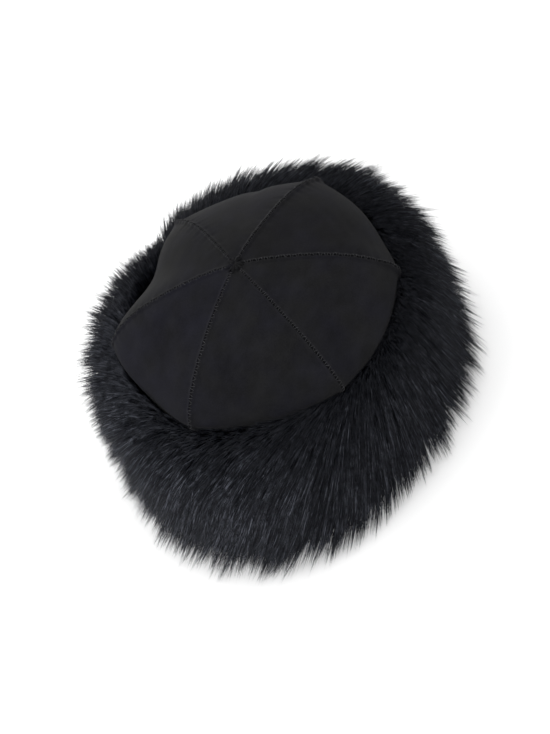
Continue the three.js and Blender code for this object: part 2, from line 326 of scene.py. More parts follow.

# Painted shade darkens the hairs just outside the crown's rim, down to SHADED_DOWN and by SHADED_SIDE
# more at SHADED_AZIMUTH. They keep the share SHADED_TONE of their tone there, and painted light is
# added to it, given at even steps of azimuth too, with a spread
SHADED_DOWN = 0.26
SHADED_SIDE = 0.38
SHADED_AZIMUTH = 0
SHADED_TONE = 0.06
PAINTED_RIM_LIGHT = (0.0, 0.0, 0.0, 0.0, 0.01, 0.015, 0.015, 0.07, 0.05, 0.01, 0.0, 0.0)
PAINTED_RIM_LIGHT_SPREAD = (0.2, 1.8)

# A joined tube is unrolled on a cell of its piece's map: the cell's margin, the height where the
# tube's sides start, and the zigzag of its end caps below them
CELL_MARGIN = 0.04
SIDES_FROM = 0.1
CAP_FROM = 0.1
CAP_WIDTH = 0.8
CAP_HEIGHT = 0.07

# The finishes: the sizes of their marks, and their darkest and lightest colours, which are shares of
# SUEDE_GREY on the suede
FIBRE_SIZE = 0.0010
STROKE_SIZE = 0.011
HANDLED_SIZE = 0.045
COOL_PATCH_SIZE = 0.026
TWIST_SIZE = 0.0004
BROKEN_SIZE = 0.0045
WOOL_SIZE = 0.0016
MOTTLE_SIZE = 0.35
SUEDE_GREY = 0.0080
SUEDE_DARK_SHARE = 0.35
SUEDE_LIGHT_SHARE = 1.70
# Along the seams the suede is darkened towards this share of its bluer grey, as painted shade
PAINTED_SEAM_SHADE_SHARE = 0.25
THREAD_COLOURS = ((0.010, 0.010, 0.011), (0.036, 0.036, 0.040))
# The hairs' lightest colour is reached on their painted highlights
HAIR_COLOURS = ((0.0005, 0.0011, 0.0038), (0.3050, 0.3240, 0.3900))
WOOL_COLOURS = ((0.0010, 0.0015, 0.0036), (0.0050, 0.0060, 0.0105))
PAPER_COLOURS = ((0.79, 0.79, 0.79), (0.81, 0.81, 0.81))

# The view: the picture's height, the size of a pixel on the hat, the apex and the picture's middle in
# pixels, the way that the camera looks from, and the tilt of the upright in the picture
FRAME_HEIGHT_PIXELS = 734
PIXEL = 0.000735
APEX_PIXEL = (235, 264.7)
MIDDLE_PIXEL = (275, 367)
VIEW_AZIMUTH = 45
VIEW_ELEVATION = 47
UPRIGHT_TILT = 115.6
LENS = 250
SENSOR = 36
FAR_CLIP = 50

# The white room, the floor's half side, the height that the soft boxes aim at, and how brightly the
# floor glows by itself, which keeps the hat's shadow on it faint
ROOM_BRIGHTNESS = 1.25
FLOOR_HALF = 6
LIT_HEIGHT = 0.08
FLOOR_GLOW = 0.28


def crown_axis():
    """Where the crown's axis stands in the frame, from the corner of gore 1 at the apex."""
    low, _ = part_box("crown_panel_1")
    return np.array((low.x - APEX_CORNER[0], low.y - APEX_CORNER[1], 0.0))


AXIS = crown_axis()


def polar(azimuth, reach, z):
    """Points from their azimuths, distances from the crown's axis and heights."""
    turn = np.radians(azimuth)
    return AXIS + np.stack(np.broadcast_arrays(reach * np.cos(turn), reach * np.sin(turn), z), -1)


def unit(vectors):
    """Vectors scaled to length 1."""
    return vectors / np.maximum(np.linalg.norm(vectors, axis=-1, keepdims=True), 1e-12)


def ease(low, high, value):
    """A smooth step from 0 at low to 1 at high."""
    t = np.clip((value - low) / (high - low), 0, 1)
    return t * t * (3 - 2 * t)


def turned_from(start, azimuth):
    """How far an azimuth is turned from a start, from -180 to 180 degrees."""
    return np.mod(azimuth - start + 180, 360) - 180


def crown_section():
    """The crown's meridian from the apex to the rim, as columns z, reach, roundness, slack, welt."""
    rows = []
    for i in range(DOME_STEPS + 1):
        t = max(math.sin(i / DOME_STEPS * math.pi / 2), APEX_REACH / CROWN_REACH)
        drop = DOME_DROP * (1 - (1 - t**DOME_ROUNDNESS) ** (1 / DOME_ROUNDNESS))
        rows.append((HAT_HEIGHT - drop, t * CROWN_REACH, 1, t * t, 1))
    corners = np.array([rows[-1], *WALL_ROWS])
    heights = np.linspace(corners[0, 0], corners[-1, 0], WALL_STEPS + 1)[1:]
    wall = [np.interp(-heights, -corners[:, 0], column) for column in corners.T]
    section = np.vstack([rows, np.stack(wall, 1)])
    for _ in range(ROW_SMOOTHING):
        inner = slice(DOME_STEPS // 2, -1)
        around = (section[:-2] + 2 * section[1:-1] + section[2:]) / 4
        section[inner] = around[DOME_STEPS // 2 - 1 :]
    return section


SECTION = crown_section()


def oval_reach(azimuth, mean):
    """The oval of the head opening, scaled so that its mean radius is the one given."""
    turn = np.radians(azimuth)
    oval = 1 / np.hypot(np.cos(turn) / OPENING_SIDE, np.sin(turn) / OPENING_FRONT)
    return oval * mean * 2 / (OPENING_FRONT + OPENING_SIDE)


def row_reach(azimuth, reach, roundness):
    """A row's reach at an azimuth, before its peaks and slumps."""
    oval = oval_reach(azimuth, reach)
    return oval + (reach - oval) * roundness


# Where each gore starts and the last one ends, in degrees clockwise from the back seam
GORE_STARTS = np.array([SEAMS[0].azimuth - seam.azimuth for seam in SEAMS] + [360])
GORE_SPANS = np.diff(GORE_STARTS)


def seam_azimuth(seam, reach):
    """Where a seam runs at a reach, after its bend."""
    spec = SEAMS[seam % len(SEAMS)]
    return spec.azimuth + spec.bend * ease(BEND_START, CROWN_REACH, reach)


def gore_move(azimuth):
    """How far the crown moves out where its slack is full: peaked at the seams, slumped between."""
    turned = np.mod(SEAMS[0].azimuth - azimuth, 360)
    gore = np.minimum(np.searchsorted(GORE_STARTS, turned, side="right"), len(GORES)) - 1
    across = np.clip((turned - GORE_STARTS[gore]) / GORE_SPANS[gore], 0, 1)
    peaks = np.array([seam.peak for seam in SEAMS])
    slumps, skews = np.array([(spec.slump, spec.skew) for spec in GORES]).T
    first, second = peaks[gore], peaks[(gore + 1) % len(SEAMS)]
    rise = first * (1 - across) ** PEAK_SHARPNESS + second * across**PEAK_SHARPNESS
    return rise - slumps[gore] * np.sin(np.pi * across ** skews[gore]) ** 2


def crown_reach(azimuth, z):
    """The crown's outer reach at any height, allowing for how far its rows sink there."""
    move = gore_move(azimuth)
    heights = SECTION[::-1, 0]
    level = z - SAG * move * np.interp(z, heights, SECTION[::-1, 3])
    reach, roundness, slack = (np.interp(level, heights, SECTION[::-1, k]) for k in (1, 2, 3))
    return row_reach(azimuth, reach, roundness) + move * slack


def held_reach(azimuth, z):
    """The crown's wall inside the cuff."""
    corners = np.array(WALL_ROWS)[::-1]
    reach = np.interp(z, corners[:, 0], corners[:, 1])
    return row_reach(azimuth, reach, np.interp(z, corners[:, 0], corners[:, 2]))


def loop_through(table, azimuth):
    """A smooth closed curve through values at even steps of azimuth, from +X round."""
    place = np.mod(azimuth, 360) * len(table) / 360
    index = np.floor(place).astype(int)
    t = place - index
    a, b, c, d = (np.take(table, index + k, mode="wrap") for k in (-1, 0, 1, 2))
    cubic = 2 * a - 5 * b + 4 * c - d + t * (3 * (b - c) + d - a)
    return b + 0.5 * t * (c - a + t * cubic)


def fur_reach(azimuth):
    """How far the fur's tips reach, parted at the join."""
    away = turned_from(JOIN_AZIMUTH, azimuth)
    return loop_through(FUR_REACH, azimuth) - JOIN_DEPTH * np.exp(-((away / JOIN_WIDTH) ** 2))


def pile_point(azimuth, z, share, body):
    """A point of the pile, share of the way from the crown's wall to the reach called body."""
    wall = held_reach(azimuth, z) + CUFF_GAP
    body = np.maximum(body, wall + THINNEST_PILE)
    return polar(azimuth, wall + share * (body - wall), z)


def combed(down, column):
    """A column of PILE_ROWS at places from 0 at the crown's rim to 1 at the floor."""
    values = [getattr(row, column) for row in PILE_ROWS]
    return np.interp(down * (len(values) - 1), np.arange(len(values)), values)


def show(mesh, name, finish, node=None):
    """Puts a mesh in the scene as a finished piece of the hat, in place of a solid if one is named."""
    piece = bpy.data.objects.new(name, mesh)
    bpy.context.scene.collection.objects.link(piece)
    mesh.materials.append(finish)
    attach(piece, "root")
    if node:
        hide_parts(node)
    return piece


def as_mesh(bm, name):
    """A smooth-shaded mesh from a bmesh, which is freed."""
    mesh = bpy.data.meshes.new(name)
    bm.to_mesh(mesh)
    bm.free()
    mesh.shade_smooth()
    return mesh


class Signal:
    """An output of a finish's nodes. Arithmetic on it adds Math nodes."""

    def __init__(self, finish, socket):
        self.finish = finish
        self.socket = socket

    def math(self, operation, first, second):
        """The output of a new Math node."""
        return self.finish.add("ShaderNodeMath", {"operation": operation}, {0: first, 1: second})

    def __add__(self, other):
        return self.math("ADD", self, other)

    def __sub__(self, other):
        return self.math("SUBTRACT", self, other)

    def __rsub__(self, other):
        return self.math("SUBTRACT", other, self)

    def __mul__(self, other):
        return self.math("MULTIPLY", self, other)

    __radd__ = __add__
    __rmul__ = __mul__


class Finish:
    """A material built node by node in front of its Principled shader."""

    def __init__(self, name):
        self.material = bpy.data.materials.new(name)
        self.material.use_nodes = True
        self.nodes = self.material.node_tree.nodes
        self.shader = self.nodes["Principled BSDF"]

    def connect(self, node, sockets):
        """Links a node's inputs to signals, or sets them to plain values."""
        for key, value in sockets.items():
            if isinstance(value, Signal):
                self.material.node_tree.links.new(value.socket, node.inputs[key])
            else:
                node.inputs[key].default_value = value

    def add(self, kind, settings, sockets, out=0):
        """One of a new node's outputs."""
        node = self.nodes.new(kind)
        for key, value in settings.items():
            setattr(node, key, value)
        self.connect(node, sockets)
        return Signal(self, node.outputs[out])

    def place(self, stretch=(1, 1, 1)):
        """The piece's own coordinates, squeezed along an axis to draw a pattern out along it."""
        spot = self.add("ShaderNodeTexCoord", {}, {}, "Object")
        return self.add("ShaderNodeMapping", {}, {"Vector": spot, "Scale": stretch})

    def noise(self, place, size, detail=2.0, rough=0.5):
        """Noise from 0 to 1 whose marks are about the given size."""
        values = {"Vector": place, "Scale": 1 / size, "Detail": detail, "Roughness": rough}
        return self.add("ShaderNodeTexNoise", {}, values)

    def attribute(self, name):
        """A value that the piece's mesh holds at its points."""
        return self.add("ShaderNodeAttribute", {"attribute_name": name}, {}, "Fac")

    def blend(self, mask, first, second):
        """A colour between two colours or colour outputs, by a mask that is held between 0 and 1."""
        ends = [end if isinstance(end, Signal) else (*end, 1) for end in (first, second)]
        settings = {"data_type": "RGBA", "clamp_factor": True}
        return self.add("ShaderNodeMix", settings, {0: mask, 6: ends[0], 7: ends[1]}, 2)

    def bump(self, height, distance, strength=1.0):
        """A fine relief, whose distance is in metres."""
        values = {"Height": height, "Distance": distance, "Strength": strength}
        return self.add("ShaderNodeBump", {}, values)

    def done(self, **sockets):
        """The finished material, with the shader's inputs joined up."""
        self.connect(self.shader, {key.replace("_", " "): value for key, value in sockets.items()})
        return self.material


def scaled(colour, factor):
    """A colour made lighter or darker."""
    return tuple(channel * factor for channel in colour)


def suede_finish(name, tone, cool):
    """Napped suede: fine standing fibres, stroked and cooler patches, and painted shade along the
    seams.
    """
    finish = Finish(name)
    place = finish.place()
    fibres = finish.noise(place, FIBRE_SIZE, 3.0, 0.65)
    stroked = finish.noise(finish.place((1.0, 0.55, 1.0)), STROKE_SIZE, 4.0, 0.6)
    handled = finish.noise(place, HANDLED_SIZE, 3.0, 0.55)
    worn = finish.attribute("worn")
    painted_seam_shade = finish.attribute("painted_seam_shade")
    shade = fibres * 0.7 + stroked * 0.8 + handled * 0.6 - 0.57 + worn * 0.12
    grey = SUEDE_GREY * tone
    base = (grey, grey, grey * (1 + cool))
    bluer = (base[0] * 0.96, base[1] * 0.96, base[2] * 1.22)
    patches = finish.noise(place, COOL_PATCH_SIZE, 2.0, 0.5) * 3.0 - 1.1
    warm, cooler = (
        finish.blend(shade, scaled(each, SUEDE_DARK_SHARE), scaled(each, SUEDE_LIGHT_SHARE))
        for each in (base, bluer)
    )
    colour = finish.blend(patches, warm, cooler)
    # Painted shade along the seams
    colour = finish.blend(painted_seam_shade * 0.65, colour, scaled(bluer, PAINTED_SEAM_SHADE_SHARE))
    relief = finish.bump(fibres + stroked * 0.8, 0.00025, 0.6)
    rough = 0.96 - worn * 0.1 - handled * 0.06
    sheen = {"Sheen_Weight": 0.03, "Sheen_Roughness": 0.5, "Specular_IOR_Level": 0.06}
    return finish.done(Base_Color=colour, Roughness=rough, Normal=relief, **sheen)


def thread_finish():
    """Black sewing thread: some stitches lighter than others, with a fine twist."""
    finish = Finish("thread")
    twist = finish.noise(finish.place(), TWIST_SIZE, 2.0)
    tone = finish.attribute("tone")
    colour = finish.blend(twist * 0.3 + tone * 0.7, *THREAD_COLOURS)
    rough = 0.55 + twist * 0.2
    relief = finish.bump(twist, 0.0001, 0.5)
    return finish.done(Base_Color=colour, Roughness=rough, Normal=relief, Specular_IOR_Level=0.3)


def hair_finish():
    """Long fur fibres: dull and dark, or light in broken stretches of painted highlight, all under
    painted light and shade.
    """
    finish = Finish("fur_hair")
    along = finish.attribute("along")
    tone = finish.attribute("tone")
    broken = finish.noise(finish.place(), BROKEN_SIZE, 2.0)
    # Painted highlights, light and shade from the tone, broken into stretches along the hairs
    shade = (tone + along * 0.02) * (broken * 6.0 - 1.9)
    colour = finish.blend(shade, *HAIR_COLOURS)
    rough = 0.42 + tone * 0.16
    return finish.done(Base_Color=colour, Roughness=rough, Specular_IOR_Level=0.15)


def undercoat_finish():
    """The short dense wool under the long hairs."""
    finish = Finish("fur_undercoat")
    wool = finish.noise(finish.place(), WOOL_SIZE, 4.0, 0.65)
    colour = finish.blend(wool, *WOOL_COLOURS)
    relief = finish.bump(wool, 0.0008)
    rough = 0.85 + wool * 0.1
    return finish.done(Base_Color=colour, Roughness=rough, Normal=relief, Specular_IOR_Level=0.1)


def floor_finish():
    """Smooth pale paper with the faintest mottle."""
    finish = Finish("pale_paper")
    mottle = finish.noise(finish.place(), MOTTLE_SIZE, 2.0)
    colour = finish.blend(mottle, *PAPER_COLOURS)
    return finish.done(
        Base_Color=colour,
        Roughness=0.9 + mottle * 0.05,
        Specular_IOR_Level=0.1,
        Emission_Color=(1, 1, 1, 1),
        Emission_Strength=FLOOR_GLOW,
    )


def row_lengths():
    """How far each row lies from the apex, along the meridian."""
    steps = np.hypot(np.diff(SECTION[:, 1]), np.diff(SECTION[:, 0]))
    return np.concatenate([[0], np.cumsum(steps)])


ROW_LENGTHS = row_lengths()


def pucker(seam, length, away):
    """The small waves that the stitching draws into the suede beside a seam."""
    turned = 2 * math.pi * length / PUCKER_PITCH
    wave = sum(w.height * np.sin(w.pace * turned + w.shift * seam) for w in PUCKER_WAVES)
    return PUCKER_HEIGHT * wave * np.exp(-((away / PUCKER_REACH) ** 2))


def dent_depth(azimuth, reach):
    """How deep the soft dents lie at a place of the dome."""
    depth = 0.0
    for dent in DENTS:
        across = np.radians(turned_from(dent.azimuth, azimuth)) * reach / dent.across
        along = (reach - dent.reach) / dent.along
        depth += dent.depth * np.exp(-(across**2) - along**2)
    return depth


def seam_relief(gore, before, after):
    """The height of the welts, grooves, lapped edge and puckers at distances from the two seams."""
    near = np.minimum(before, after)
    lengths = ROW_LENGTHS[:, None]
    rise = WELT_HEIGHT * (1 - ease(WELT_WIDTH, WELT_FADE, near))
    groove = GROOVE_DEPTH * np.exp(-((near / GROOVE_WIDTH) ** 2))
    lap = LAP_HEIGHT * (1 - ease(LAP_WIDTH, LAP_FADE, after))
    puckers = pucker(gore, lengths, before) + pucker(gore + 1, lengths, after)
    return (rise - groove + lap + puckers) * ease(0, SEAM_FADE, lengths)


def column_distances(width):
    """Distances from the first seam of a gore's columns, close together beside both seams."""
    edge = np.array(EDGE_COLUMNS)
    edge = edge * min(1, width / (3 * edge[-1]))
    edge[0] = min(PIECE_GAP / 2, width / 4)
    field = np.linspace(edge[-1], width - edge[-1], FIELD_COLUMNS + 2)[1:-1]
    return np.concatenate([edge, field, width - edge[::-1]])


def gore_rows(gore):
    """The outer surface of a gore: points, wear and painted seam shade, by row and column."""
    z, reach, roundness, slack, welt = SECTION.T[..., None]
    first = seam_azimuth(gore, reach)
    width = np.radians(np.mod(first - seam_azimuth(gore + 1, reach), 360)) * reach
    before = np.array([column_distances(total) for total in width[:, 0]])
    azimuth = first - np.degrees(before / reach)
    move = gore_move(azimuth) * slack
    out = row_reach(azimuth, reach, roundness) + move
    level = z + SAG * move
    along = unit(np.stack([np.gradient(out, axis=0), np.gradient(level, axis=0)], -1))
    height = seam_relief(gore, before, width - before) * welt - dent_depth(azimuth, reach) * slack
    points = polar(azimuth, out - along[..., 1] * height, level + along[..., 0] * height)
    centre = AXIS + (0, 0, RIPPLE_CENTRE)
    for place in points.reshape(-1, 3):
        spot = Vector(place) / RIPPLE_SIZE
        place += RIPPLE_HEIGHT * noise.noise(spot) * unit(place - centre)
    near = np.minimum(before, width - before)
    worn = welt * np.exp(-(((near - WELT_WIDTH) / GROOVE_WIDTH) ** 2))
    # Painted shade along the seam, fading out towards the apex
    painted_seam_shade = welt * np.exp(-((near / PAINTED_SEAM_SHADE_WIDTH) ** 2)) * ease(0, SEAM_FADE, reach)
    return points, worn, painted_seam_shade


def gore_piece(gore):
    """One gore: a grid drawn to its place, with a wall's thickness inwards."""
    points, worn, painted_seam_shade = gore_rows(gore)
    rows, columns = worn.shape
    bm = bmesh.new()
    bmesh.ops.create_grid(bm, x_segments=columns - 1, y_segments=rows - 1, size=0.5)
    wear = bm.verts.layers.float.new("worn")
    painted_seam_shade_layer = bm.verts.layers.float.new("painted_seam_shade")
    for vert in bm.verts:
        row = round((0.5 - vert.co.y) * (rows - 1))
        column = round((0.5 - vert.co.x) * (columns - 1))
        vert[wear] = worn[row, column]
        vert[painted_seam_shade_layer] = painted_seam_shade[row, column]
        vert.co = points[row, column]
    bmesh.ops.recalc_face_normals(bm, faces=bm.faces)
    foot = Vector(AXIS)
    outward = sum(face.normal.dot(face.calc_center_median() - foot) for face in bm.faces)
    if outward < 0:
        bmesh.ops.reverse_faces(bm, faces=bm.faces)
    spec = GORES[gore]
    finish = suede_finish(f"suede_{gore + 1}", spec.tone, spec.cool)
    piece = show(as_mesh(bm, spec.node), f"gore_{gore + 1}", finish, spec.node)
    wall = piece.modifiers.new("wall", "SOLIDIFY")
    wall.thickness = WALL
    wall.offset = -1
    return piece


def tube_faces(stations, sides, pointed):
    """The faces of one tube and, for each of their corners, its place on an unrolled strip."""
    faces, strip = [], []
    rings = stations - 1 if pointed else stations
    heights = np.linspace(SIDES_FROM, 1, stations)
    cap = [(CAP_FROM + CAP_WIDTH * k / sides, CAP_HEIGHT * (k % 2)) for k in range(sides)]
    for k in range(sides):
        after = (k + 1) % sides
        left, right = k / sides, (k + 1) / sides
        for ring in range(rings - 1):
            low, high = ring * sides, (ring + 1) * sides
            faces.append((low + k, low + after, high + after, high + k))
            strip += [(left, heights[ring]), (right, heights[ring])]
            strip += [(right, heights[ring + 1]), (left, heights[ring + 1])]
        if pointed:
            last = (rings - 1) * sides
            faces.append((last + k, last + after, rings * sides))
            strip += [(left, heights[-2]), (right, heights[-2]), ((left + right) / 2, heights[-1])]
    faces.append(tuple(reversed(range(sides))))
    strip += cap
    if not pointed:
        faces.append(tuple(range((rings - 1) * sides, rings * sides)))
        strip += cap
    return faces, np.array(strip)


def tube_points(centres, across, radii, sides, pointed):
    """The vertices of many tubes: rings round their centre lines, and a last point if pointed."""
    along = unit(np.gradient(centres, axis=1))
    first = unit(np.cross(along, across[:, None]))
    second = np.cross(along, first)
    turns = (np.arange(sides) * 2 * math.pi / sides)[:, None]
    rings = centres.shape[1] - 1 if pointed else centres.shape[1]
    ring = first[:, :rings, None] * np.cos(turns) + second[:, :rings, None] * np.sin(turns)
    points = centres[:, :rings, None] + ring * radii[:, :rings, None, None]
    points = points.reshape(len(centres), -1, 3)
    if pointed:
        points = np.concatenate([points, centres[:, -1:]], 1)
    return points


def joined_tubes(name, centres, across, radii, sides, pointed, tone):
    """One mesh of many small closed tubes, each with its own cell of the map and its own tone."""
    count, stations = centres.shape[:2]
    points = tube_points(centres, across, radii, sides, pointed)
    faces, strip = tube_faces(stations, sides, pointed)
    corners = np.array([corner for face in faces for corner in face])
    sizes = np.array([len(face) for face in faces])
    each = points.shape[1]
    loops = (corners + each * np.arange(count)[:, None]).ravel()
    starts = np.concatenate([[0], np.cumsum(np.tile(sizes, count))[:-1]])
    mesh = bpy.data.meshes.new(name)
    mesh.vertices.add(count * each)
    mesh.vertices.foreach_set("co", points.astype(np.float32).ravel())
    mesh.loops.add(len(loops))
    mesh.loops.foreach_set("vertex_index", loops.astype(np.int32))
    mesh.polygons.add(len(starts))
    mesh.polygons.foreach_set("loop_start", starts.astype(np.int32))
    mesh.update(calc_edges=True)
    side = math.ceil(math.sqrt(count))
    cell = np.stack([np.arange(count) % side, np.arange(count) // side], 1)
    places = (cell[:, None] + CELL_MARGIN + (1 - 2 * CELL_MARGIN) * strip) / side
    layer = mesh.uv_layers.new(name="OFBake", do_init=False)
    layer.uv.foreach_set("vector", places.astype(np.float32).ravel())
    rings = stations - 1 if pointed else stations
    along = np.repeat(np.arange(rings) / (stations - 1), sides)
    along = np.append(along, 1.0) if pointed else along
    for label, values in (("along", np.tile(along, count)), ("tone", np.repeat(tone, each))):
        attribute = mesh.attributes.new(label, "FLOAT", "POINT")
        attribute.data.foreach_set("value", values.astype(np.float32))
    mesh.shade_smooth()
    return mesh


def seam_line(seam):
    """The middle of a seam: points, directions and outward normals, one for each stitch."""
    low = SECTION[:, 0] > STITCHED_TO
    z, reach, roundness, slack, _ = SECTION[low].T
    azimuth = seam_azimuth(seam, reach)
    move = gore_move(azimuth) * slack
    out, level = row_reach(azimuth, reach, roundness) + move, z + SAG * move
    slope = unit(np.stack([np.gradient(out), np.gradient(level)], -1))
    height = -dent_depth(azimuth, reach) * slack
    line = polar(azimuth, out - slope[:, 1] * height, level + slope[:, 0] * height)
    lengths = ROW_LENGTHS[low]
    places = np.arange(FIRST_STITCH, lengths[-1], STITCH_PITCH)
    points = np.stack([np.interp(places, lengths, column) for column in line.T], 1)
    along = unit(np.gradient(points, axis=0))
    turn = math.radians(SEAMS[seam].azimuth)
    side = np.array((-math.sin(turn), math.cos(turn), 0.0))
    normals = unit(np.cross(along, np.broadcast_to(side, along.shape)))
    normals *= np.sign(normals[:, 2].sum())
    waves = (WELT_HEIGHT + pucker(seam, places, 0.0)) * ease(0, SEAM_FADE, places)
    return points + normals * waves[:, None], along, normals, side


def seam_stitches(seam, finish):
    """The threads over one seam: short arches that dive into the suede on both sides."""
    rng = np.random.default_rng(seam)
    points, along, normals, side = seam_line(seam)
    count = len(points)
    reach = np.linspace(-1, 1, STITCH_STATIONS)
    half = STITCH_HALF * rng.uniform(*STITCH_HALF_SPREAD, count)
    slant = STITCH_SLANT * rng.normal(1.0, STITCH_SLANT_SPREAD, count) * (-1) ** np.arange(count)
    height = STITCH_RISE - (STITCH_RISE + STITCH_SINK) * reach**STITCH_ARCH
    centres = points[:, None] + side * (half[:, None] * reach + STITCH_ASIDE)[..., None]
    centres = centres + along[:, None] * (slant[:, None] * reach)[..., None]
    centres = centres + normals[:, None] * height[:, None]
    radii = THREAD_RADIUS * rng.uniform(*THREAD_RADIUS_SPREAD, (count, 1))
    radii = np.repeat(radii, STITCH_STATIONS, 1)
    name = f"seam_stitches_{seam + 1}"
    mesh = joined_tubes(name, centres, normals, radii, THREAD_SIDES, False, rng.random(count))
    return show(mesh, name, finish)


def ground_profile():
    """The undercoat's section: height and share of each point, up the inside and down the pile."""
    top = PILE_ROWS[0].root_z - GROUND_BELOW_ROOT
    inner = [(z, 0.0) for z in np.linspace(HEM_HEIGHT, top, GROUND_INNER_STEPS)]
    down = np.linspace(0, 1, (len(PILE_ROWS) - 1) * GROUND_STEPS + 1)
    outer = list(zip(combed(down, "root_z"), combed(down, "root_share")))
    foot = PILE_ROWS[-1].root_share - GROUND_FOOT_SHARE
    return inner + outer + [(0.0, foot)]


def ground_piece():
    """The undercoat: the cuff's backing from its turned-in hem to the wool between the hairs."""
    profile = ground_profile()
    ring = len(profile) + 2
    bm = bmesh.new()
    bmesh.ops.create_grid(bm, x_segments=GROUND_STATIONS, y_segments=ring, size=0.5)
    for vert in bm.verts:
        station = round((vert.co.x + 0.5) * GROUND_STATIONS) % GROUND_STATIONS
        step = round((vert.co.y + 0.5) * ring) % ring
        azimuth = 360 * station / GROUND_STATIONS
        hem = row_reach(azimuth, WALL_ROWS[-1].reach, 0.0) - WALL
        if step < 2:
            vert.co = polar(azimuth, hem, HEM_HEIGHT * step)
            continue
        z, share = profile[step - 2]
        spot = pile_point(azimuth, z, share, fur_reach(azimuth) - UNDERCOAT_DEPTH)
        rough = 0.0
        if share > 0 and z > HEM_HEIGHT:
            rough = GROUND_RELIEF * noise.noise(Vector(spot) / GROUND_RELIEF_SIZE)
        vert.co = spot + rough * unit(spot - AXIS - (0, 0, z))
    bmesh.ops.remove_doubles(bm, verts=bm.verts, dist=1e-6)
    bmesh.ops.recalc_face_normals(bm, faces=bm.faces)
    mesh = as_mesh(bm, "cuff_pile")
    return show(mesh, "cuff_pile", undercoat_finish(), "fur_cuff")


def drift(azimuth, down, seed, size, waves=BROAD_WAVES):
    """A smooth wandering value of about the given size over the cuff, closed round the head."""
    rng = np.random.default_rng(seed)
    value = 0.0
    for turns in waves:
        lean = rng.uniform(*WAVE_LEAN) * min(turns, MOST_LEANING)
        phase = math.radians(1) * turns * azimuth + lean * down + rng.uniform(*WAVE_PHASE)
        value += np.sin(phase) * rng.uniform(*WAVE_HEIGHT)
    return size * value / 2


def tuft_field(arc, rng):
    """The tufts of one arc of the cuff: azimuth and place down the pile, in a jittered field."""
    span = 360 / ARCS
    column, row = np.meshgrid(np.arange(TUFT_COLUMNS), np.arange(TUFT_ROWS))
    column = column.ravel() + rng.random(column.size)
    row = row.ravel() + rng.random(row.size)
    return arc * span + span * column / TUFT_COLUMNS, row / TUFT_ROWS


def shared(values, each):
    """Values of a group, repeated for each of its members."""
    return np.repeat(values, each, axis=-1)


def hair_lengths(azimuth, down, edge, ragged, rng):
    """How long the hairs are, as shares of the way from their roots to their combed tips."""
    count = len(azimuth)
    length = shared(rng.uniform(*TUFT_LENGTH, count // TUFT_HAIRS), TUFT_HAIRS)
    length = length * shared(rng.uniform(*WISP_LENGTH, count // WISP_HAIRS), WISP_HAIRS)
    length = length * rng.uniform(*HAIR_LENGTH, count)
    length = length * (1 + drift(azimuth, down, LENGTH_SEED, CLUMP_LENGTH, CLUMP_WAVES))
    length = 1 + (length - 1) * ragged * (1 + EDGE_RAGGED * edge) + EDGE_LONGER * edge
    stray = rng.random(count) < STRAY_SHARE
    return np.where(stray, rng.uniform(*STRAY_LENGTH, count), np.minimum(length, LONGEST))


def hair_asides(azimuth, down, loose, ragged, rng):
    """How far the tips lie aside of the roots, round the head and down the pile."""
    count = len(azimuth)
    brushed = BRUSHED_AT_RIM + (1 - BRUSHED_AT_RIM) * ease(0, BRUSHED_FROM, down)
    sway = drift(azimuth, down, SWAY_SEED, SWAY_DRIFT)
    sway -= BRUSH_REACH * brushed * loop_through(BRUSHED, azimuth)
    away = turned_from(JOIN_AZIMUTH, azimuth)
    sway += SWEPT_ASIDE * np.sign(away) * np.exp(-((away / SWEPT_WIDTH) ** 2))
    sway += drift(azimuth, down, CLUMP_SEED, CLUMP_ASIDE, CLUMP_WAVES)
    lift = drift(azimuth, down, LIFT_SEED, LIFT_DRIFT)
    for aside in (sway, lift):
        aside += ragged * shared(rng.normal(0, TUFT_ASIDE, count // TUFT_HAIRS), TUFT_HAIRS)
        aside += ragged * shared(rng.normal(0, WISP_ASIDE, count // WISP_HAIRS), WISP_HAIRS)
        aside += ragged * rng.normal(0, np.where(loose, LOOSE_ASIDE, HELD_ASIDE))
    return sway, lift


def hair_ends(end, azimuth, down, aside, beyond):
    """The hairs' roots or tips, moved aside round the head and down the pile."""
    azimuth = azimuth + aside[0] * math.degrees(1 / PILE_ROUND)
    down = np.clip(down + aside[1] / PILE_DEPTH, 0, 1)
    z, share = combed(down, f"{end}_z"), combed(down, f"{end}_share")
    return pile_point(azimuth, z, share, fur_reach(azimuth) + beyond)


def hair_tones(azimuth, down, rng):
    """How light the hairs are, from 0 for the darkest to about 1 on painted highlights, with painted
    light and shade.
    """
    count = len(azimuth)
    chance = rng.random(count)
    lively = shared(2 * rng.random(count // WISP_HAIRS), WISP_HAIRS)
    glints = rng.uniform(*GLINT_TONE, count)
    dulls = rng.uniform(*DULL_TONE, count)
    tone = np.where(chance < GLINT_SHARE * lively, glints, dulls)
    tone *= shared(rng.uniform(*TUFT_TONE, count // TUFT_HAIRS), TUFT_HAIRS)
    tone *= 1 + drift(azimuth, down, PATCH_SEED, PATCH_TONE)
    # Painted shade by the crown's rim, deepest on the side away from the light, and painted light and
    # shade by side
    leeward = (1 + np.cos(np.radians(azimuth - SHADED_AZIMUTH))) / 2
    lit = ease(0, SHADED_DOWN + SHADED_SIDE * leeward, down)
    tone *= (SHADED_TONE + (1 - SHADED_TONE) * lit) * loop_through(PAINTED_SIDE_LIGHT, azimuth)
    # Painted light added to the hairs by the rim
    return tone + loop_through(PAINTED_RIM_LIGHT, azimuth) * (1 - lit) * rng.uniform(*PAINTED_RIM_LIGHT_SPREAD, count)


